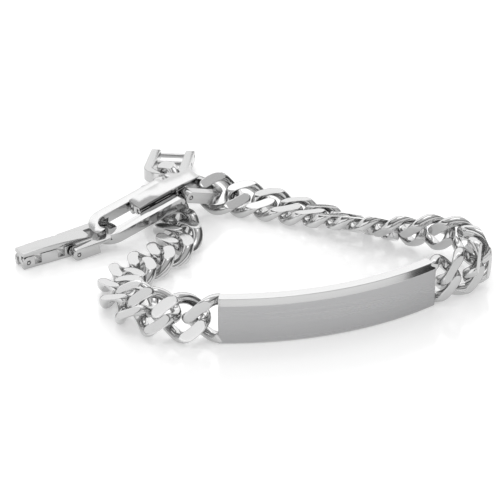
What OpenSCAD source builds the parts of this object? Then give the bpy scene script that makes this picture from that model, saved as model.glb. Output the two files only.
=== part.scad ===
// Identity bracelet: a curved plate, a flat curb chain on each side of it
// and an open fold-over clasp with an extension frame, lying as it was put down.

/* [Identity plate] */
// Width of the plate, which stands on this edge
plate_w = 7.75; // [6:0.5:12]
// Length of the plate along its curved front
plate_len = 37.3; // [30:0.5:45]
// Thickness of the plate
plate_t = 2.5; // [1.8:0.1:3.2]
// Radius of the curved front face
plate_r = 50; // [40:1:80]
// Height of the bevel along the upper front edge
bevel_h = 1.05; // [0.4:0.05:1.6]
// Depth of that bevel
bevel_d = 0.45; // [0.1:0.05:0.8]
// Size of the small bevel on the other long edges
small_bevel = 0.25; // [0.1:0.05:0.4]

/* [Chain] */
// Width of the chain, equal to the outer width of a link
chain_w = 8; // [7:0.1:9]
// Thickness left after the flat faces are ground
chain_t = 2.6; // [2.2:0.1:3]
// Thickness of the wire of a link
wire_d = 1.85; // [1.8:0.05:2.2]
// Distance from one link to the next
pitch = 4.85; // [4.7:0.05:5]
// Half length of a link's centre line
link_a = 3.85; // [3.7:0.05:3.9]
// Angle by which each end of a link is twisted out of its plane
link_twist = 62; // [58:1:66]
// Sides of a link's centre line
link_n = 16; // [12:4:16]
// Slack taken up between two links of the right half
right_slack = 0.05; // [0:0.01:0.1]

/* [Clasp] */
// Outer width of the extension frame and the yokes
frame_w = 6.9; // [6.5:0.1:7.5]
// Outer width of the catch frame
catch_w = 7.7; // [7:0.1:8]
// Width of each rail of a frame
rail_w = 1.6; // [1.4:0.05:1.7]
// Height of a rail
rail_h = 2.05; // [1.8:0.05:2.4]
// Length of a yoke from its pin to the end of its bow
yoke_len = 8.95; // [8.4:0.05:9.6]
// Length of the extension frame
frame_len = 16.6; // [15:0.1:17.5]
// Length of the catch frame at the chain's end
catch_len = 13.9; // [13:0.1:15]
// Distance between the two cross bars of a frame
bar_gap = 4.3; // [4:0.1:4.6]
// Diameter of a cross bar
bar_d = 0.9; // [0.7:0.05:1]
// Width of a clasp base and its cover
blade_w = 2.9; // [2.6:0.05:3.1]
// Length of a base from its yoke pin to its tip
base_len = 9.2; // [9:0.1:10]
// Length of a cover blade
blade_len = 12.6; // [12:0.1:13.4]
// Diameter of the hinge pins
pin_d = 0.9; // [0.7:0.05:1]
// Radial clearance of a bore on its pin
pin_play = 0.05; // [0.03:0.01:0.08]
// Gap beside each moving piece
side_gap = 0.15; // [0.1:0.05:0.2]

/* [Hidden] */
left_links = 13;
right_links = 13;

// Moves the whole bracelet so that its middle stands over the origin
place = [-0.376, -0.748, 0];

// Chosen points of each half of the chain, from the plate outwards.
// Columns: x, y, lean of the chain from upright in degrees, lift above the floor
LEFT_ROUTE = [
    [-5.8, -30.9, 2, 0], [-10.6, -30.6, 16, 0], [-14.9, -28.5, 35, 0.1], [-18.1, -25.1, 54, 0.3],
    [-20, -20.7, 71, 0.4], [-20.4, -15.8, 84, 0.3], [-18.9, -11.2, 88, 0.1], [-15.9, -7.3, 86, 0.1],
    [-12.9, -3.4, 84, 0.1], [-11.7, 1.1, 82, 0.1], [-12.4, 5.9, 84, 0.1], [-14.1, 10.5, 84, 0.1],
    [-15.4, 15.2, 71, 0], [-15.3, 20.3, 54, 0], [-14.9, 25.2, 44, 0]];
RIGHT_ROUTE = [
    [29.2, -18.2, 2, 0], [33.3, -15.8, 4, 0.1], [36.4, -12.1, 9, 0.3], [36.3, -7.1, 16, 0.6],
    [33.1, -3.4, 24, 0.8], [28.8, -1.6, 34, 0.6], [24.3, 0.2, 45, 0.2], [20.1, 2.8, 58, 0],
    [16.1, 5.8, 71, 0], [11.9, 8.8, 81, 0.1], [7.4, 11.5, 90, 0.3], [2.6, 13.6, 99, 0.2],
    [-2.5, 15.1, 111, 0.1], [-7.8, 15, 134, 0.3]];

// Smooth curve through four neighbouring rows at t from 0 to 1
function blend(p0, p1, p2, p3, t) =
    0.5 * (2 * p1 + (p2 - p0) * t + (2 * p0 - 5 * p1 + 4 * p2 - p3) * t * t
    + (3 * p1 - p0 - 3 * p2 + p3) * t * t * t);

// Row of a route at s, counted in rows
function route_at(route, s) =
    let (last = len(route) - 1,
         i = min(floor(s), last - 1),
         before = i == 0 ? 2 * route[0] - route[1] : route[i - 1],
         after = i == last - 1 ? 2 * route[last] - route[last - 1] : route[i + 2])
    blend(before, route[i], route[i + 1], after, s - i);

// Half width of a link's centre line
link_b = (chain_w - wire_d) / 2;

// Place of a link's middle for one row: leaning links rest on their lower rail
function middle(row) =
    let (flatness = pow(sin(row[2]), 2))
    [row.x, row.y, link_b * abs(cos(row[2])) + wire_d / 2 + (chain_t - wire_d) / 2 * flatness + row[3]];

route_step = 0.05;

// Table of length along a route against s
function lengths(route, s = 0, sum = 0) =
    s > len(route) - 1 - route_step / 2 ? [[sum, s]] :
    concat([[sum, s]], lengths(route, s + route_step,
        sum + norm(middle(route_at(route, s + route_step)) - middle(route_at(route, s)))));

LEFT_LENGTHS = lengths(LEFT_ROUTE);
RIGHT_LENGTHS = lengths(RIGHT_ROUTE);

function link_point(t) =
    let (turn = -link_twist * cos(t))
    [link_a * cos(t), link_b * sin(t) * cos(turn), link_b * sin(t) * sin(turn)];

function unit(v) = v / norm(v);

function clamp(v, limit) = max(-limit, min(limit, v));

// One six-sided ring of the wire, with its upper and lower side ground flat
function wire_ring(t) =
    let (mid = link_point(t),
         along = unit(link_point(t + 1) - link_point(t - 1)),
         turn = -link_twist * cos(t),
         up = [0, -sin(turn), cos(turn)],
         side = unit(cross(up, along)),
         top = cross(along, side))
    [for (a = [30:60:330])
        let (p = mid + wire_d / 2 * (cos(a) * top + sin(a) * side))
        [p.x, p.y, clamp(p.z, chain_t / 2)]];

module curb_link() {
    points = [for (k = [0:link_n - 1]) each wire_ring(360 * k / link_n)];
    function at(k, j) = (k % link_n) * 6 + j % 6;
    faces = [for (k = [0:link_n - 1], j = [0:5])
        each [[at(k, j), at(k + 1, j + 1), at(k + 1, j)], [at(k, j), at(k, j + 1), at(k + 1, j + 1)]]];
    polyhedron(points, faces, convexity = 4);
}

// One link at its place on a route, where dir is 1 if the route runs counterclockwise
module route_link(route, table, i, dir) {
    s = lookup(i * (dir > 0 ? pitch - right_slack : pitch), table);
    row = route_at(route, s);
    behind = middle(route_at(route, max(0, s - route_step)));
    ahead = middle(route_at(route, min(len(route) - 1, s + route_step)));
    way = dir * (ahead - behind);
    color("silver")
    translate(place + middle(row))
        rotate([0, 0, atan2(way.y, way.x)])
        rotate([0, -asin(way.z / norm(way)), 0])
        rotate([90 - row[2], 0, 0])
        curb_link();
}

// Plate: its section turned about the middle of its curve
plate_angle = plate_len / plate_r * 180 / PI;
plate_mid = [-3.9, 17.8];
plate_start = -91.15;

module plate_bar() {
    back = plate_r - plate_t;
    rotate([0, 0, plate_start])
        rotate_extrude(angle = plate_angle, $fn = 180)
        polygon([[back, small_bevel], [back + small_bevel, 0], [plate_r - small_bevel, 0],
            [plate_r, small_bevel], [plate_r, plate_w - bevel_h], [plate_r - bevel_d, plate_w],
            [back + small_bevel, plate_w], [back, plate_w - small_bevel]]);
}

// Depth to which a half link is soldered into the end of the plate
solder_depth = 0.4;
// Distance of the soldered link's middle from the plate's end
link_out = 0.9;
// Angle by which the right half link points away from the plate's own curve
right_swing = -10;

// Half a link at the end of the plate that lies at this angle, outside it on side dir
module half_link(angle, dir, swing) {
    rotate([0, 0, angle])
        intersection() {
            translate([plate_r - plate_t / 2, dir * link_out, chain_w / 2])
                rotate([0, 0, 90 + swing]) rotate([90, 0, 0]) curb_link();
            translate([plate_r - chain_w, dir > 0 ? -solder_depth : solder_depth - chain_w, -1])
                cube([2 * chain_w, chain_w, 2 * chain_w]);
        }
}

// The plate with a half link soldered to each end
module id_plate() {
    color("gainsboro")
    translate(place + [plate_mid.x, plate_mid.y, 0]) {
        plate_bar();
        half_link(plate_start, -1, 0);
        half_link(plate_start + plate_angle, 1, right_swing);
    }
}

// U-shaped outline with a round bow that ends at x = reach, open at x = -tail
module bow_outline(width, reach, tail) {
    r = width / 2;
    inner = r - rail_w;
    difference() {
        union() {
            translate([-tail, -r]) square([reach + tail - r, 2 * r]);
            translate([reach - r, 0]) circle(r, $fn = 64);
        }
        translate([reach - r, 0]) circle(inner, $fn = 64);
        translate([-tail - 1, -inner]) square([reach + tail + 1 - r, 2 * inner]);
    }
}

// Frame bow with both open rails rounded at x = start
module bow(width, reach, start) {
    translate([0, 0, -rail_h / 2]) linear_extrude(rail_h) bow_outline(width, reach, -start);
    for (side = [-1, 1])
        translate([start, side * (width - rail_w) / 2, 0]) rotate([90, 0, 0])
            cylinder(h = rail_w, d = rail_h, center = true, $fn = 48);
}

// Depth of a bar's or pin's end below the outer side of its rail
pin_end = 0.1;

// Bar or pin across the frame at x
module cross_bar(width, x, d) {
    translate([x, width / 2 - pin_end, 0]) rotate([90, 0, 0])
        cylinder(h = width - 2 * pin_end, d = d, $fn = 32);
}

// Distance of the first cross bar from the frame's open end
first_bar = 0.9;

// Frame with two cross bars near its open end
module barred_frame(width, length) {
    bow(width, length, rail_h / 2);
    cross_bar(width, first_bar, bar_d);
    cross_bar(width, first_bar + bar_gap, bar_d);
}

// Yoke with its hinge pin at the origin
module yoke() {
    bow(frame_w, yoke_len, 0);
    cross_bar(frame_w, 0, pin_d);
}

// Distance of the tip pin from the yoke pin, and of the first notch from it
tip_pin = base_len - 0.9;
first_notch = 2.2;
knuckle_w = 1.1;
base_h = rail_h;
notch_w = 1.3;
notch_depth = 1.55;
// Length of the slot for the cover's knuckle, from the base's tip
slot_len = 1.95;

// Notched base with its yoke hinge at the origin and its tip towards -x
module clasp_base() {
    difference() {
        union() {
            translate([-tip_pin, -blade_w / 2, -base_h / 2]) cube([tip_pin, blade_w, base_h]);
            translate([-base_len, -blade_w / 2, -base_h / 2]) cube([base_len, blade_w, base_h / 2]);
            for (x = [-tip_pin, 0])
                translate([x, 0, 0]) rotate([90, 0, 0])
                    cylinder(h = blade_w, d = base_h, center = true, $fn = 48);
        }
        rotate([90, 0, 0]) cylinder(h = blade_w + 1, d = pin_d + 2 * pin_play, center = true, $fn = 48);
        for (x = [first_notch, first_notch + bar_gap])
            translate([-x - notch_w / 2, -blade_w, base_h / 2 - notch_depth])
                cube([notch_w, 2 * blade_w, base_h]);
        translate([-base_len - 1, -knuckle_w / 2 - side_gap, -base_h])
            cube([slot_len + 1, knuckle_w + 2 * side_gap, 2 * base_h]);
    }
    translate([-tip_pin, blade_w / 2 - pin_end, 0]) rotate([90, 0, 0])
        cylinder(h = blade_w - 2 * pin_end, d = pin_d, $fn = 32);
}

cover_gap = 0.12;

// Crowned cover blade, hinged at the base's tip
module clasp_cover() {
    low = base_h / 2 + cover_gap;
    steps = 12;
    start = -base_len;
    function crown(u) = low + 0.45 + 0.5 * sin(180 * (0.1 + 0.8 * u)) - 0.15 * u;
    top = [for (k = [0:steps]) [start + blade_len * k / steps, crown(k / steps)]];
    difference() {
        union() {
            translate([0, blade_w / 2, 0]) rotate([90, 0, 0]) linear_extrude(blade_w)
                polygon(concat([[start, low]], top,
                    [[start + blade_len, low + 0.3], [start + blade_len * 0.75, low]]));
            translate([-tip_pin, 0, 0]) rotate([90, 0, 0])
                cylinder(h = knuckle_w, d = 1.7, center = true, $fn = 32);
            translate([-tip_pin - 0.85, -knuckle_w / 2, 0]) cube([1.7, knuckle_w, low + 0.2]);
        }
        translate([-tip_pin, 0, 0]) rotate([90, 0, 0])
            cylinder(h = blade_w + 1, d = pin_d + 2 * pin_play, center = true, $fn = 32);
    }
}

// Place of the open unit: its yoke pin, heading in degrees
left_pin = [-29.85, -1.05, 1.1];
left_heading = 33;
left_pitch = 4;

module on_left_unit() {
    translate(place + left_pin) rotate([0, 0, left_heading]) children();
}

// Place of the closed unit: yoke pin, heading, pitch up towards the yoke, roll towards the front
right_pin = [-12, 11.4, 5.9];
right_heading = 37.3;
right_pitch = 11.5;
right_roll = 9.8;
yoke_drop = 32;

module on_right_unit() {
    translate(place + right_pin) rotate([0, 0, right_heading]) rotate([0, -right_pitch, 0])
        rotate([right_roll, 0, 0]) children();
}

// Both bows are half lapped where the extension frame passes through the left yoke:
// its near rail runs under the yoke and its far side runs over it
lap_gap = 0.08;
lap_switch = 0.1;
// Room between the two cuts where they change over
lap_room = 0.35;

// Space of one side of the frame, above or below its middle plane
module frame_side(near, above) {
    r = frame_w / 2 + 2 * lap_gap;
    on_right_unit()
        translate([-frame_len - 2, near ? -r : lap_switch, above ? -lap_gap : -chain_w + lap_gap])
        cube([frame_len, near ? r - lap_switch - lap_room : r, chain_w]);
}

module yoke_space() {
    on_left_unit() rotate([0, -left_pitch, 0])
        translate([0, 0, -chain_w]) linear_extrude(2 * chain_w) offset_outline();
}

// Outline of the yoke, grown by the gap
module offset_outline() {
    r = frame_w / 2 + lap_gap;
    inner = frame_w / 2 - rail_w - lap_gap;
    difference() {
        union() {
            translate([-2, -r]) square([yoke_len - frame_w / 2 + 2, 2 * r]);
            translate([yoke_len - frame_w / 2, 0]) circle(r, $fn = 64);
        }
        translate([yoke_len - frame_w / 2, 0]) circle(inner, $fn = 64);
        translate([-3, -inner]) square([yoke_len - frame_w / 2 + 3, 2 * inner]);
    }
}

module left_yoke() {
    color("silver")
    difference() {
        on_left_unit() rotate([0, -left_pitch, 0]) yoke();
        frame_side(near = true, above = false);
        frame_side(near = false, above = true);
    }
}
module left_base() { color("lightgray") on_left_unit() clasp_base(); }
module left_cover() { color("whitesmoke") on_left_unit() clasp_cover(); }
module right_yoke() { color("silver") on_right_unit() rotate([0, yoke_drop, 0]) yoke(); }
module right_base() { color("lightgray") on_right_unit() clasp_base(); }
module right_cover() { color("whitesmoke") on_right_unit() clasp_cover(); }

// Its bars sit in the notches of the closed base
module extension_frame() {
    color("silver")
    difference() {
        on_right_unit() translate([first_bar - first_notch, 0, 0]) rotate([0, 0, 180])
            barred_frame(frame_w, frame_len);
        intersection() {
            yoke_space();
            union() {
                frame_side(near = true, above = true);
                frame_side(near = false, above = false);
            }
        }
    }
}

catch_place = [-13.5, 34.3, 1.6];
catch_heading = -96;
catch_pitch = -6.4;

module catch_frame() {
    color("silver")
    translate(place + catch_place) rotate([0, 0, catch_heading]) rotate([0, catch_pitch, 0])
        barred_frame(catch_w, catch_len);
}

id_plate();
for (i = [1:left_links])
    route_link(LEFT_ROUTE, LEFT_LENGTHS, i, -1);
for (i = [1:right_links])
    route_link(RIGHT_ROUTE, RIGHT_LENGTHS, i, 1);
catch_frame();
extension_frame();
left_yoke();
left_base();
left_cover();
right_yoke();
right_base();
right_cover();
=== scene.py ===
"""Looks of the identity bracelet: brushed plate, ground curb links, polished clasp.

Lengths below are in millimetres, and mesh_piece turns them into metres.
"""

import bmesh
import bpy
import numpy as np
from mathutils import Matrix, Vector


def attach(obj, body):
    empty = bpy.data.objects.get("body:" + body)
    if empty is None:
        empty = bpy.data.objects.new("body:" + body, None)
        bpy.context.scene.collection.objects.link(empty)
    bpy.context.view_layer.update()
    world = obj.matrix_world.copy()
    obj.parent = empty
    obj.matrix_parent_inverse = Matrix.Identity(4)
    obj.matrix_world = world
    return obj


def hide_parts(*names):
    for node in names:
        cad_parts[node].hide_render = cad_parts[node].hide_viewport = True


MM = 0.001

# Chain, as built
CHAIN_W = 8.0
CHAIN_T = 2.6
LINK_A = 3.85
LINK_TWIST = np.radians(62)
WIRE_D = 1.82
# How far the edge between a ground face and the round wire is softened
RIM = 0.07
# Section of a link's wire: least half angle of a ground face, and half angle of the crowded points
LEAST_FLAT = 0.12
RIM_REACH = 0.1
# Places of the section's points over a ground face and over its rim, as shares of the half angle
FACE_SHARES = np.array([-0.9, -0.6, -0.2, 0.2, 0.6, 0.9])
RIM_SHARES = np.array([-1, -0.45, 0, 0.45, 1])
ROUND_POINTS = 8
LINK_RINGS = 112
HALF_LINK_RINGS = 72
LEFT_LINKS = 13
RIGHT_LINKS = 13

# Plate, as built
PLATE_W = 7.75
PLATE_LEN = 37.3
PLATE_T = 2.5
PLATE_R = 50.0
BEVEL_H = 1.05
BEVEL_D = 0.45
SMALL_BEVEL = 0.25
PLATE_START = np.radians(-91.15)
PLATE_MID = np.array([-3.9, 17.8, 0.0])
PLACE = np.array([-0.376, -0.748, 0.0])
# Half links: distance of their middles from the plate's ends, turn of the right one, and their reach
LINK_OUT = 0.9
RIGHT_SWING = np.radians(-10)
HALF_LINK_REACH = np.radians(110)
# Radii of the plate's long edges and of its ends
EDGE_ROUND = 0.14
END_ROUND = 0.18
# Points of the arc at each corner of the plate's section, and sections over an end and between the ends
ARC_POINTS = 5
END_SECTIONS = 7
PLATE_SECTIONS = 120

# Corners of a solid closer than this are one corner
JOIN_DISTANCE = 1e-3

# Clasp: size of the rounding on the edges of its frames and of its blades
FRAME_ROUND = 0.16
BLADE_ROUND = 0.1
# Faces that meet at less than the first angle are joined, and edges above the second are rounded
FLAT_ANGLE = np.radians(0.6)
SHARP_ANGLE = np.radians(30)

# Clasp: places, headings and sizes, as built
FRAME_W = 6.9
CATCH_W = 7.7
BLADE_W = 2.9
TIP_PIN = 8.3
FIRST_BAR = 0.9
FIRST_NOTCH = 2.2
BAR_GAP = 4.3
LEFT_PIN = np.array([-29.85, -1.05, 1.1])
LEFT_HEADING = np.radians(33)
RIGHT_PIN = np.array([-12, 11.4, 5.9])
RIGHT_TURN = np.radians([37.3, -11.5, 9.8])
CATCH_PLACE = np.array([-13.5, 34.3, 1.6])
CATCH_TURN = np.radians([-96, -6.4])
# Outer radii of the riveted heads of the pins and of the bars
PIN_HEAD = 0.48
BAR_HEAD = 0.3
HEAD_SIDES = 32
# Profile of a head: shares of its radius and heights, from a low dome over a groove to the lip
HEAD_SHARES = np.array([0.02, 0.25, 0.45, 0.56, 0.62, 0.68, 0.76, 0.86, 0.96, 1.0])
HEAD_HEIGHTS = np.array([0.06, 0.055, 0.035, 0.01, 0.002, 0.01, 0.045, 0.055, 0.03, -0.03])
# Points of the profile at which the groove's strips of painted recess shade begin
GROOVE_SHADE_POINTS = [2, 3, 4, 5]

# Camera: elevation, distance and focal length of the photograph's view
CAMERA_UP = np.radians(27)
CAMERA_DISTANCE = 420.0
FOCAL_PX = 2540.0
IMAGE_PX = 500.0
SENSOR = 36.0

# Table: half its width, its distance below the bracelet, its own light and its roughness
TABLE_HALF = 3000.0
TABLE_GAP = 0.02
TABLE_GLOW = 0.32
TABLE_ROUGHNESS = 0.12
# Greys of the room by the height of the direction, from 0 at the horizon to 1 straight up
ROOM_GREYS = [
    (0.0, 0.2), (0.03, 0.03), (0.17, 0.03), (0.3, 0.12),
    (0.6, 0.2), (0.66, 0.04), (0.74, 0.6), (1.0, 0.8)]

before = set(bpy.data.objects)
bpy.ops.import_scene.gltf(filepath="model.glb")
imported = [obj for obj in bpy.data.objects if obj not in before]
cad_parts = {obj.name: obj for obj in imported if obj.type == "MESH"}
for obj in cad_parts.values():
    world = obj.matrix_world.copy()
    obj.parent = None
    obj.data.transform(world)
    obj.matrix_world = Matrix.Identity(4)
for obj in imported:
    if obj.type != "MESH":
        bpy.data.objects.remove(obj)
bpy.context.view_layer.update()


def turned(axis, angle):
    """Matrix that turns points about the x, y or z axis by an angle in radians."""
    c, s = np.cos(angle), np.sin(angle)
    rows = {
        "x": [[1, 0, 0], [0, c, -s], [0, s, c]],
        "y": [[c, 0, s], [0, 1, 0], [-s, 0, c]],
        "z": [[c, -s, 0], [s, c, 0], [0, 0, 1]],
    }
    return np.array(rows[axis])


def grid_faces(rings, points, closed):
    """Four-sided faces between neighbouring rings of a tube.

    If closed, the first ring follows the last.
    """
    k = np.arange(rings if closed else rings - 1)[:, None]
    j = np.arange(points)[None, :]
    ahead = (k + 1) % rings
    right = (j + 1) % points
    corners = [k * points + j, ahead * points + j, ahead * points + right, k * points + right]
    return np.stack(np.broadcast_arrays(*corners), -1).reshape(-1, 4)


def add_object(name, data):
    """Object with the data, linked to the scene."""
    thing = bpy.data.objects.new(name, data)
    bpy.context.scene.collection.objects.link(thing)
    return thing


def mesh_piece(name, points, faces, materials, kinds=None):
    """Object at the origin from points in mm and a list of faces.

    Kinds gives one material number for each face.
    """
    mesh = bpy.data.meshes.new(name)
    mesh.from_pydata((points * MM).tolist(), [], [list(f) for f in faces])
    for material in materials:
        mesh.materials.append(material)
    if kinds is not None:
        mesh.polygons.foreach_set("material_index", np.asarray(kinds, np.int32))
    mesh.polygons.foreach_set("use_smooth", np.ones(len(mesh.polygons), bool))
    mesh.update()
    return add_object(name, mesh)


def linear(hex_colour):
    """Linear colour of an sRGB hex value."""
    channels = [int(hex_colour[i:i + 2], 16) / 255 for i in (1, 3, 5)]
    return [c / 12.92 if c <= 0.04045 else ((c + 0.055) / 1.055) ** 2.4 for c in channels] + [1.0]


def add_node(tree, kind, inputs=None, settings=None, links=None):
    """Adds a node, sets its sockets and properties, and links sockets of it to outputs of others."""
    node = tree.nodes.new(kind)
    for key, value in (settings or {}).items():
        setattr(node, key, value)
    for key, value in (inputs or {}).items():
        node.inputs[key].default_value = value
    for key, output in (links or {}).items():
        tree.links.new(output, node.inputs[key])
    return node


def steel(name, colour, roughness, spread, grain_mm, stretch, depth_mm):
    """Stainless steel whose roughness varies by spread over marks of grain_mm, longer by stretch per axis."""
    material = bpy.data.materials.new(name)
    material.use_nodes = True
    tree = material.node_tree
    shader = tree.nodes["Principled BSDF"]
    shader.inputs["Base Color"].default_value = linear(colour)
    shader.inputs["Metallic"].default_value = 1.0
    place = add_node(tree, "ShaderNodeTexCoord").outputs["Object"]
    scale = [1 / (grain_mm * MM * s) for s in stretch]
    mapped = add_node(tree, "ShaderNodeMapping", {"Scale": scale}, links={"Vector": place})
    marks = add_node(tree, "ShaderNodeTexNoise", {"Scale": 1.0, "Detail": 3.0, "Roughness": 0.6},
                     links={"Vector": mapped.outputs["Vector"]})
    rough = add_node(tree, "ShaderNodeMapRange",
                     {"To Min": roughness - spread, "To Max": roughness + spread},
                     links={"Value": marks.outputs["Fac"]})
    tree.links.new(rough.outputs["Result"], shader.inputs["Roughness"])
    bump = add_node(tree, "ShaderNodeBump", {"Strength": 1.0, "Distance": depth_mm * MM},
                    links={"Height": marks.outputs["Fac"]})
    tree.links.new(bump.outputs["Normal"], shader.inputs["Normal"])
    return material


# Stainless steel brushed along the plate: soft, even reflection with fine lines along its length
BRUSHED = steel("brushed_stainless_steel", "#b2b2b3", 0.3, 0.16, 0.4, (80, 80, 1), 0.012)
# The plate's edges and bevel, buffed after brushing: clear reflection
BUFFED = steel("buffed_stainless_steel", "#d3d3d3", 0.16, 0.03, 1.5, (1, 1, 1), 0.0004)
# Tumbled and ground links: bright, with soft marks
LINK_STEEL = steel("ground_stainless_steel", "#c8c8c8", 0.11, 0.03, 1.2, (1, 1, 1), 0.0006)
# Stamped and polished clasp pieces
CLASP_STEEL = steel("polished_stainless_steel", "#bfbfbf", 0.14, 0.03, 1.6, (1, 1, 1), 0.0005)
# Painted shade of the drilled recess round a pin: dark, rough steel on the head's shallow groove, standing in
# for the shade that the real recess holds
PAINTED_RECESS_SHADE_STEEL = steel("painted_recess_shade_steel", "#2c2c2c", 0.5, 0.05, 0.2, (1, 1, 1), 0.002)


def link_points(angles):
    """Rings of a curb link about its middle.

    Its centre line is (a cos t, b sin t, 0) turned about the x axis by -twist cos t. A round wire
    is carried along it, and both sides are ground flat at half the chain's thickness. The section's
    points crowd where the ground face meets the round wire.
    """
    half_w = (CHAIN_W - WIRE_D) / 2
    half_t = CHAIN_T / 2

    def centre(t):
        turn = -LINK_TWIST * np.cos(t)
        across = half_w * np.sin(t)
        return np.stack([LINK_A * np.cos(t), across * np.cos(turn), across * np.sin(turn)], -1)

    step = 1e-3
    mid = centre(angles)
    along = centre(angles + step) - centre(angles - step)
    along /= np.linalg.norm(along, axis=1)[:, None]
    turn = -LINK_TWIST * np.cos(angles)
    up = np.stack([0 * turn, -np.sin(turn), np.cos(turn)], -1)
    side = np.cross(up, along)
    side /= np.linalg.norm(side, axis=1)[:, None]
    top = np.cross(along, side)

    # Angles of the section at which the wire meets the upper and the lower ground face
    rise = WIRE_D / 2 * np.hypot(top[:, 2], side[:, 2])
    first = np.arctan2(side[:, 2], top[:, 2])
    upper = np.maximum(np.arccos(np.clip((half_t - mid[:, 2]) / rise, -1, 1)), LEAST_FLAT)
    lower = np.maximum(np.arccos(np.clip((half_t + mid[:, 2]) / rise, -1, 1)), LEAST_FLAT)
    rim = RIM_REACH * RIM_SHARES
    round_side = np.linspace(0, 1, ROUND_POINTS + 2)[1:-1]
    start = first + upper
    end = first + np.pi - lower
    back_start = first + np.pi + lower
    back_end = first + 2 * np.pi - upper
    s = np.concatenate([
        first[:, None] + upper[:, None] * FACE_SHARES,
        start[:, None] + rim,
        start[:, None] + RIM_REACH + (end - start - 2 * RIM_REACH)[:, None] * round_side,
        end[:, None] + rim,
        first[:, None] + np.pi + lower[:, None] * FACE_SHARES,
        back_start[:, None] + rim,
        back_start[:, None] + RIM_REACH + (back_end - back_start - 2 * RIM_REACH)[:, None] * round_side,
        back_end[:, None] + rim], 1)
    wire = np.cos(s)[..., None] * top[:, None] + np.sin(s)[..., None] * side[:, None]
    points = mid[:, None] + WIRE_D / 2 * wire
    height = points[..., 2]
    over = (np.abs(height) - half_t) / RIM
    points[..., 2] = np.sign(height) * (half_t - RIM * np.logaddexp(0, -over))
    return points


def whole_link():
    """Closed link: points and faces."""
    points = link_points(np.linspace(0, 2 * np.pi, LINK_RINGS, endpoint=False))
    return points.reshape(-1, 3), grid_faces(LINK_RINGS, points.shape[1], True)


def half_link(middle_angle):
    """Half of a link about one of its ends, with both cut ends closed."""
    angles = middle_angle + np.linspace(-HALF_LINK_REACH, HALF_LINK_REACH, HALF_LINK_RINGS)
    points = link_points(angles)
    count = points.shape[1]
    faces = grid_faces(HALF_LINK_RINGS, count, False).tolist()
    faces.append(list(range(count)))
    faces.append(list(range((HALF_LINK_RINGS - 1) * count, HALF_LINK_RINGS * count))[::-1])
    return points.reshape(-1, 3), faces


def merged(node):
    """Mesh of a node's solid with its loose triangles joined, as a bmesh."""
    solid = bmesh.new()
    solid.from_mesh(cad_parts[node].data)
    bmesh.ops.remove_doubles(solid, verts=solid.verts, dist=JOIN_DISTANCE * MM)
    return solid


def link_place(node):
    """Middle and axes of a link: its solid's corners spread most along it and least through it."""
    solid = merged(node)
    corners = np.array([v.co for v in solid.verts]) / MM
    solid.free()
    middle = corners.mean(0)
    spread = np.linalg.eigh(np.cov((corners - middle).T))[1]
    axes = spread[:, ::-1].copy()
    axes[:, 2] = np.cross(axes[:, 0], axes[:, 1])
    return middle, axes


def make_chain():
    """The links, each turned and moved to where its solid lies."""
    shape, faces = whole_link()
    names = [f"left_link_{i + 1}" for i in range(LEFT_LINKS)]
    names += [f"right_link_{i + 1}" for i in range(RIGHT_LINKS)]
    for name in names:
        middle, axes = link_place(name)
        piece = mesh_piece("ground_" + name, shape @ axes.T + middle, faces, [LINK_STEEL])
        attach(piece, "root")
        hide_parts(name)


def rounded_section(corners, inset):
    """Outline with rounded corners: each corner's arc stands on the outline moved inwards.

    The outline is convex and runs counterclockwise. It is moved in by inset, and its corners are
    arcs of EDGE_ROUND about the corners of the outline moved in by inset and EDGE_ROUND.
    """
    edge = np.roll(corners, -1, 0) - corners
    edge /= np.linalg.norm(edge, axis=1)[:, None]
    out = np.stack([edge[:, 1], -edge[:, 0]], -1)
    before = np.roll(out, 1, 0)
    bisector = (out + before) / (1 + (out * before).sum(1))[:, None]
    centres = corners - bisector * (inset + EDGE_ROUND)
    a0 = np.arctan2(before[:, 1], before[:, 0])
    sweep = (np.arctan2(out[:, 1], out[:, 0]) - a0) % (2 * np.pi)
    angle = a0[:, None] + sweep[:, None] * np.linspace(0, 1, ARC_POINTS)
    arc = np.stack([np.cos(angle), np.sin(angle)], -1)
    return (centres[:, None] + EDGE_ROUND * arc).reshape(-1, 2)


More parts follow.
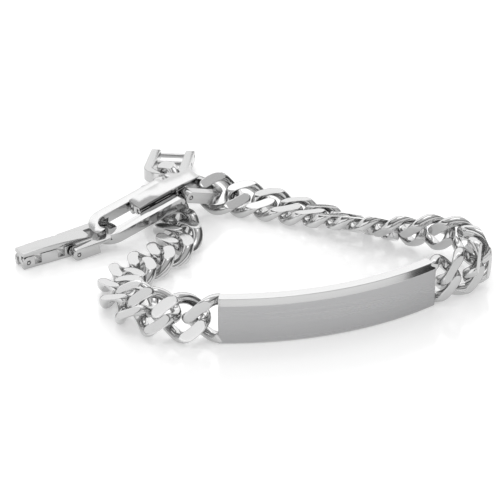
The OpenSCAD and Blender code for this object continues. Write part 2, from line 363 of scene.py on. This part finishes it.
def make_plate():
    """Plate: its rounded section turned about the middle of its curve, drawn in at both ends."""
    back = PLATE_R - PLATE_T
    corners = np.array([
        [back, SMALL_BEVEL], [back + SMALL_BEVEL, 0], [PLATE_R - SMALL_BEVEL, 0],
        [PLATE_R, SMALL_BEVEL], [PLATE_R, PLATE_W - BEVEL_H], [PLATE_R - BEVEL_D, PLATE_W],
        [back + SMALL_BEVEL, PLATE_W], [back, PLATE_W - SMALL_BEVEL]])
    quarter = np.linspace(0, np.pi / 2, END_SECTIONS)
    near_end = END_ROUND * (1 - np.cos(quarter))
    inset = END_ROUND * (1 - np.sin(quarter))
    middle = np.linspace(END_ROUND, PLATE_LEN - END_ROUND, PLATE_SECTIONS)[1:-1]
    where = np.concatenate([near_end, middle, PLATE_LEN - near_end[::-1]])
    draw_in = np.concatenate([inset, 0 * middle, inset[::-1]])
    sections = np.stack([rounded_section(corners, e) for e in draw_in])
    angle = (PLATE_START + where / PLATE_R)[:, None]
    radius = sections[..., 0]
    points = np.stack([radius * np.cos(angle), radius * np.sin(angle), sections[..., 1]], -1)
    rings, count = points.shape[:2]
    faces = grid_faces(rings, count, False).tolist()
    # The brushed front lies between the arcs of the section's fourth and fifth corner
    front = 4 * ARC_POINTS - 1
    kinds = [0 if k % count == front else 1 for k in range(len(faces))]
    faces.append(list(range(count)))
    faces.append(list(range((rings - 1) * count, rings * count))[::-1])
    kinds += [1, 1]
    all_points = [points.reshape(-1, 3)]
    end_angle = PLATE_START + PLATE_LEN / PLATE_R
    ends = [(PLATE_START, -1, 0.0, np.pi), (end_angle, 1, RIGHT_SWING, 0.0)]
    for angle, side, swing, middle_angle in ends:
        shape, link_faces = half_link(middle_angle)
        stand = turned("z", np.pi / 2 + swing) @ turned("x", np.pi / 2)
        place = np.array([PLATE_R - PLATE_T / 2, side * LINK_OUT, CHAIN_W / 2])
        base = sum(len(p) for p in all_points)
        all_points.append((shape @ stand.T + place) @ turned("z", angle).T)
        faces += [[base + v for v in f] for f in link_faces]
        kinds += [2] * len(link_faces)
    piece = mesh_piece("curved_plate", np.concatenate(all_points) + PLACE + PLATE_MID, faces,
                       [BRUSHED, BUFFED, LINK_STEEL], kinds)
    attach(piece, "root")
    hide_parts("id_plate")


def make_clasp_piece(node, body, rounding):
    """A clasp piece: its own solid with flat areas joined and all its edges rounded."""
    solid = merged(node)
    bmesh.ops.dissolve_limit(solid, angle_limit=FLAT_ANGLE, verts=solid.verts, edges=solid.edges)
    mesh = bpy.data.meshes.new("polished_" + node)
    solid.to_mesh(mesh)
    solid.free()
    mesh.materials.append(CLASP_STEEL)
    mesh.polygons.foreach_set("use_smooth", np.ones(len(mesh.polygons), bool))
    piece = add_object("polished_" + node, mesh)
    bevel = piece.modifiers.new("rounded edges", "BEVEL")
    bevel.width = rounding * MM
    bevel.segments = 3
    bevel.limit_method = "ANGLE"
    bevel.angle_limit = SHARP_ANGLE
    bevel.harden_normals = True
    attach(piece, body)
    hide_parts(node)


def make_clasp():
    """All the pieces of the clasp."""
    for node in ("catch_frame", "extension_frame", "left_yoke", "right_yoke"):
        make_clasp_piece(node, "root", FRAME_ROUND)
    make_clasp_piece("right_base", "root", BLADE_ROUND)
    for node in ("left_base", "left_cover", "right_cover"):
        make_clasp_piece(node, node, BLADE_ROUND)


def rivet_head(radius):
    """Round head of a pin, facing -Y, as points, faces and their materials; the groove's faces take the
    painted recess shade.

    The profile is turned about the Y axis, and a last face closes it in the middle.
    """
    count = len(HEAD_HEIGHTS)
    around = np.linspace(0, 2 * np.pi, HEAD_SIDES, endpoint=False)[:, None]
    away = radius * HEAD_SHARES
    forward = np.broadcast_to(-HEAD_HEIGHTS, (HEAD_SIDES, count))
    points = np.stack([away * np.cos(around), forward, away * np.sin(around)], -1)
    strips = grid_faces(HEAD_SIDES, count, True)
    strips = strips[strips[:, 3] % count != 0]
    # Faces in the groove get material 1, the painted shade of the recess
    kinds = np.isin(strips[:, 0] % count, GROOVE_SHADE_POINTS).astype(int).tolist() + [0]
    faces = strips[:, ::-1].tolist() + [[k * count for k in range(HEAD_SIDES)]]
    return points.reshape(-1, 3), faces, kinds


def make_pin_heads(name, body, place, turn, spots, radius, half_w):
    """Heads on both sides of a frame or base, at x = spots of its own axes."""
    head, faces, kinds = rivet_head(radius)
    points, all_faces, all_kinds = [], [], []
    for x in spots:
        for side in (0, np.pi):
            base = len(points) * len(head)
            shape = (head - [0, half_w, 0]) @ turned("z", side).T + [x, 0, 0]
            points.append(shape @ turn.T + place + PLACE)
            all_faces += [[base + v for v in f] for f in faces]
            all_kinds += kinds
    # Material 1 is the painted shade of the recess, on the grooves of the heads
    piece = mesh_piece(name, np.concatenate(points), all_faces, [CLASP_STEEL, PAINTED_RECESS_SHADE_STEEL], all_kinds)
    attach(piece, body)


def make_pins():
    """Pin and bar ends of the clasp, riveted in their rails."""
    left = turned("z", LEFT_HEADING)
    heading, pitch, roll = RIGHT_TURN
    right = turned("z", heading) @ turned("y", pitch) @ turned("x", roll)
    catch = turned("z", CATCH_TURN[0]) @ turned("y", CATCH_TURN[1])
    half = FRAME_W / 2
    notches = [-FIRST_NOTCH, -FIRST_NOTCH - BAR_GAP]
    bars = [FIRST_BAR, FIRST_BAR + BAR_GAP]
    make_pin_heads("left_yoke_pin_heads", "root", LEFT_PIN, left, [0], PIN_HEAD, half)
    make_pin_heads("right_yoke_pin_heads", "root", RIGHT_PIN, right, [0], PIN_HEAD, half)
    make_pin_heads("left_tip_pin_heads", "left_base", LEFT_PIN, left, [-TIP_PIN], PIN_HEAD, BLADE_W / 2)
    make_pin_heads("right_tip_pin_heads", "root", RIGHT_PIN, right, [-TIP_PIN], PIN_HEAD, BLADE_W / 2)
    make_pin_heads("extension_bar_heads", "root", RIGHT_PIN, right, notches, BAR_HEAD, half)
    make_pin_heads("catch_bar_heads", "root", CATCH_PLACE, catch, bars, BAR_HEAD, CATCH_W / 2)


def softbox(name, place, target, size, watts):
    """Rectangular soft light at place, facing target, all in mm."""
    data = bpy.data.lights.new(name, "AREA")
    data.shape = "RECTANGLE"
    data.size = size[0] * MM
    data.size_y = size[1] * MM
    data.energy = watts
    aim(add_object(name, data), np.array(place), np.array(target))


def aim(thing, place, target):
    """Puts a light or camera at place with its -Z axis towards target and +Y up."""
    way = Vector((target - place).tolist())
    thing.location = Vector((place * MM).tolist())
    thing.rotation_euler = way.to_track_quat("-Z", "Y").to_euler()


def make_table():
    """White light table: a pale glossy sheet, lit from below as well."""
    corners = TABLE_HALF * np.array([[-1, -1, 0], [1, -1, 0], [1, 1, 0], [-1, 1, 0]])
    acrylic = bpy.data.materials.new("white_acrylic_table")
    acrylic.use_nodes = True
    shader = acrylic.node_tree.nodes["Principled BSDF"]
    shader.inputs["Base Color"].default_value = linear("#f2f2f2")
    shader.inputs["Roughness"].default_value = TABLE_ROUGHNESS
    shader.inputs["Emission Color"].default_value = linear("#ffffff")
    shader.inputs["Emission Strength"].default_value = TABLE_GLOW
    table = mesh_piece("table", corners - [0, 0, TABLE_GAP], [[0, 1, 2, 3]], [acrylic])


def make_room():
    """Surroundings that the steel reflects: dark at the horizon, grey above."""
    world = bpy.data.worlds.new("studio_room")
    bpy.context.scene.world = world
    world.use_nodes = True
    tree = world.node_tree
    way = add_node(tree, "ShaderNodeTexCoord").outputs["Generated"]
    height = add_node(tree, "ShaderNodeSeparateXYZ", links={"Vector": way}).outputs["Z"]
    ramp = add_node(tree, "ShaderNodeValToRGB", links={"Fac": height})
    stops = ramp.color_ramp.elements
    stops[0].position, stops[1].position = ROOM_GREYS[0][0], ROOM_GREYS[-1][0]
    for place, _ in ROOM_GREYS[1:-1]:
        stops.new(place)
    for stop, (_, grey) in zip(stops, ROOM_GREYS):
        stop.color = (grey, grey, grey, 1)
    tree.links.new(ramp.outputs["Color"], tree.nodes["Background"].inputs["Color"])


def make_lights():
    """Softboxes above, behind, in front and at the left."""
    middle = (0, 0, 0)
    softbox("overhead", (0, -40, 560), middle, (300, 220), 0.27)
    softbox("behind", (0, 600, 400), (0, 0, 40), (1200, 820), 3.7)
    softbox("front", (500, -880, 330), middle, (1700, 600), 2.8)
    softbox("left_front", (-700, -700, 250), middle, (1000, 520), 2.1)
    softbox("left_back", (-900, 250, 350), middle, (1100, 560), 1.85)


def make_camera():
    """Camera of the photograph: looks along +Y and down by CAMERA_UP at the middle of its frame."""
    data = bpy.data.cameras.new("camera")
    data.sensor_width = SENSOR
    data.lens = FOCAL_PX / IMAGE_PX * SENSOR
    camera = add_object("camera", data)
    look = np.array([0, np.cos(CAMERA_UP), -np.sin(CAMERA_UP)])
    aim(camera, PLACE - CAMERA_DISTANCE * look, PLACE)
    bpy.context.scene.camera = camera


make_chain()
make_plate()
make_clasp()
make_pins()
make_table()
make_room()
make_lights()
make_camera()
bpy.context.scene.view_settings.view_transform = "Standard"
